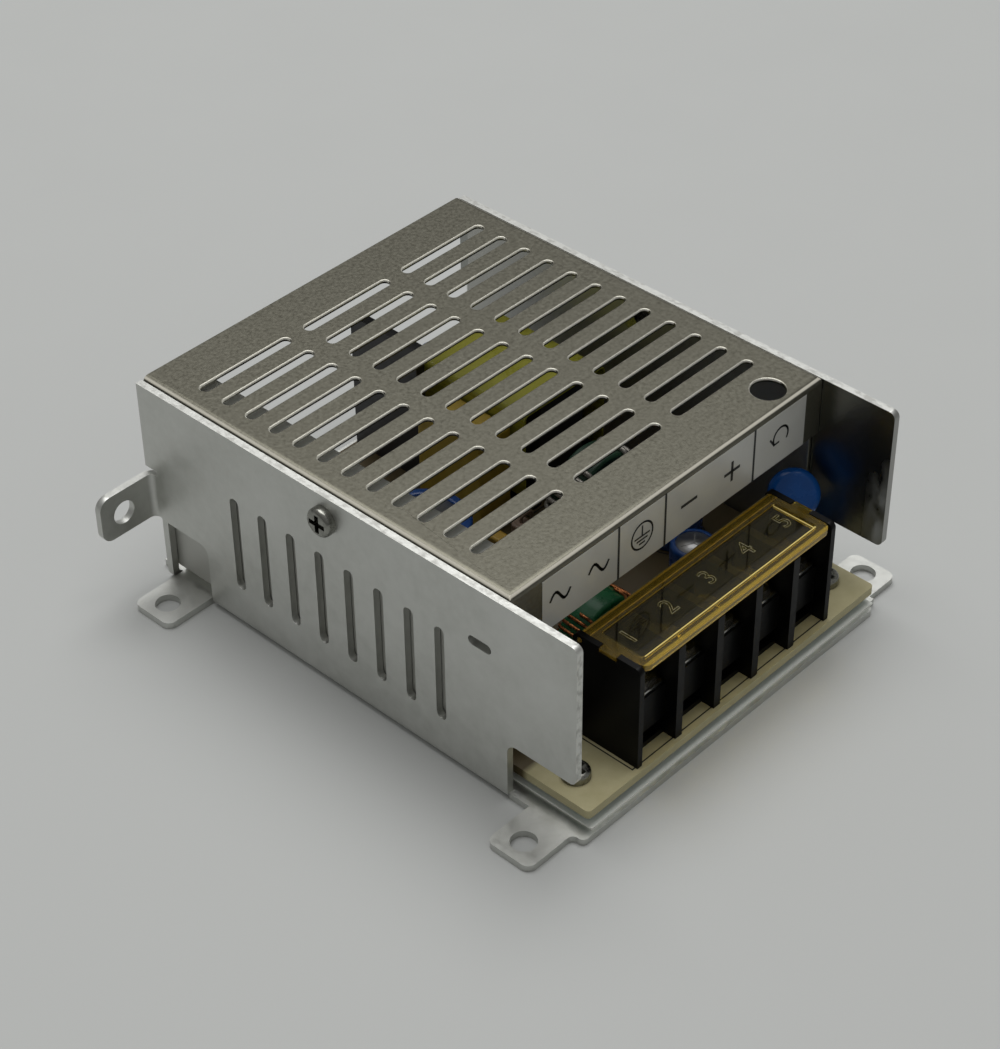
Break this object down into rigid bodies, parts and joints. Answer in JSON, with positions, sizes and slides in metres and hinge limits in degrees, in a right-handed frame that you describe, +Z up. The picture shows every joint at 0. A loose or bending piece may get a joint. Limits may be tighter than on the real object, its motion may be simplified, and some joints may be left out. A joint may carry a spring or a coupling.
{
  "type": "mesh case switching power supply",
  "caption": "Flat folded-sheet power supply case with a slotted cover over its circuit board, a screw terminal block under a clear hinged cover, and side mounting tabs.",
  "frame": {"origin": "underside of the base plate, midway between the side walls and midway along them", "axes": "+X across the case to the right seen from the terminal end, +Y away from the terminals, +Z up through the slotted cover"},
  "size_m": [0.1008, 0.0984, 0.0406],
  "materials": {
    "amber_clear": "gloss",
    "black_lacquer": "satin",
    "black_moulding": "matte",
    "blue_lacquer": "gloss",
    "blue_moulding": "satin",
    "blue_sleeve": "gloss",
    "board_laminate": "matte",
    "case_aluminium": "satin",
    "cover_plate_steel": "satin",
    "cream_plastic": "matte",
    "dark_anodised": "satin",
    "enamelled_copper": "satin",
    "ferrite": "matte",
    "fuse_glass": "clear",
    "green_ring_coating": "satin",
    "plated_screws": "satin",
    "resistor_lacquer": "satin",
    "tinned_brass": "satin",
    "white_film": "matte",
    "yellow_case": "satin",
    "yellow_tape": "satin"
  },
  "bodies": {
    "case": {"board_screws": "plated_screws", "board_spacers": "plated_screws", "bridge_rectifier": "black_moulding", "bulk_capacitor": "blue_sleeve", "chassis": "case_aluminium", "choke_core": "green_ring_coating", "choke_windings": "enamelled_copper", "circuit_board": "board_laminate", "contact_strips": "tinned_brass", "controller": "black_moulding", "cover": "cover_plate_steel", "cover_screw_left": "plated_screws", "cover_screw_right": "plated_screws", "diodes": "black_moulding", "disc_capacitor": "blue_lacquer", "fuse": "fuse_glass", "fuse_clips": "tinned_brass", "heat_sink_left": "dark_anodised", "heat_sink_right": "dark_anodised", "inductor_core": "green_ring_coating", "inductor_windings": "enamelled_copper", "insulation_sheet": "white_film", "optocoupler": "black_moulding", "output_capacitor_back": "blue_sleeve", "output_capacitor_front": "blue_sleeve", "output_capacitor_middle": "blue_sleeve", "output_rectifier": "black_moulding", "power_transistor": "black_moulding", "rectifier_screw": "plated_screws", "resistors": "resistor_lacquer", "snubber_capacitor": "yellow_case", "terminal_block": "black_moulding", "thermistor": "black_lacquer", "transformer_bobbin": "black_moulding", "transformer_core_lower": "ferrite", "transformer_core_upper": "ferrite", "transformer_winding": "enamelled_copper", "transformer_wrap": "yellow_tape", "transistor_screw": "plated_screws", "trimmer_body": "blue_moulding", "upright_resistor": "resistor_lacquer", "x_capacitor": "yellow_case", "y_capacitor": "blue_lacquer"},
    "terminal_lid": {"terminal_cover": "amber_clear"},
    "trimmer_wiper": {"trimmer_rotor": "cream_plastic"},
    "clamp_1": {"terminal_screw_1": "plated_screws", "clamp_washer_1": "plated_screws"},
    "clamp_2": {"terminal_screw_2": "plated_screws", "clamp_washer_2": "plated_screws"},
    "clamp_3": {"terminal_screw_3": "plated_screws", "clamp_washer_3": "plated_screws"},
    "clamp_4": {"terminal_screw_4": "plated_screws", "clamp_washer_4": "plated_screws"},
    "clamp_5": {"terminal_screw_5": "plated_screws", "clamp_washer_5": "plated_screws"}
  },
  "joints": [
    {"name": "terminal_cover_hinge", "type": "hinge", "parent": "case", "child": "terminal_lid", "pos_m": [0.0002, -0.0357, 0.0245], "axis": [-1, 0, 0], "range_deg": [0, 90]},
    {"name": "trimmer_turn", "type": "hinge", "parent": "case", "child": "trimmer_wiper", "pos_m": [0.0288, -0.0295, 0.0092], "axis": [0, 0, 1], "range_deg": [-105, 105]},
    {"name": "terminal_screw_1_lift", "type": "slide", "parent": "case", "child": "clamp_1", "axis": [0, 0, 1], "range_m": [0, 0.003]},
    {"name": "terminal_screw_2_lift", "type": "slide", "parent": "case", "child": "clamp_2", "axis": [0, 0, 1], "range_m": [0, 0.003]},
    {"name": "terminal_screw_3_lift", "type": "slide", "parent": "case", "child": "clamp_3", "axis": [0, 0, 1], "range_m": [0, 0.003]},
    {"name": "terminal_screw_4_lift", "type": "slide", "parent": "case", "child": "clamp_4", "axis": [0, 0, 1], "range_m": [0, 0.003]},
    {"name": "terminal_screw_5_lift", "type": "slide", "parent": "case", "child": "clamp_5", "axis": [0, 0, 1], "range_m": [0, 0.003]}
  ]
}
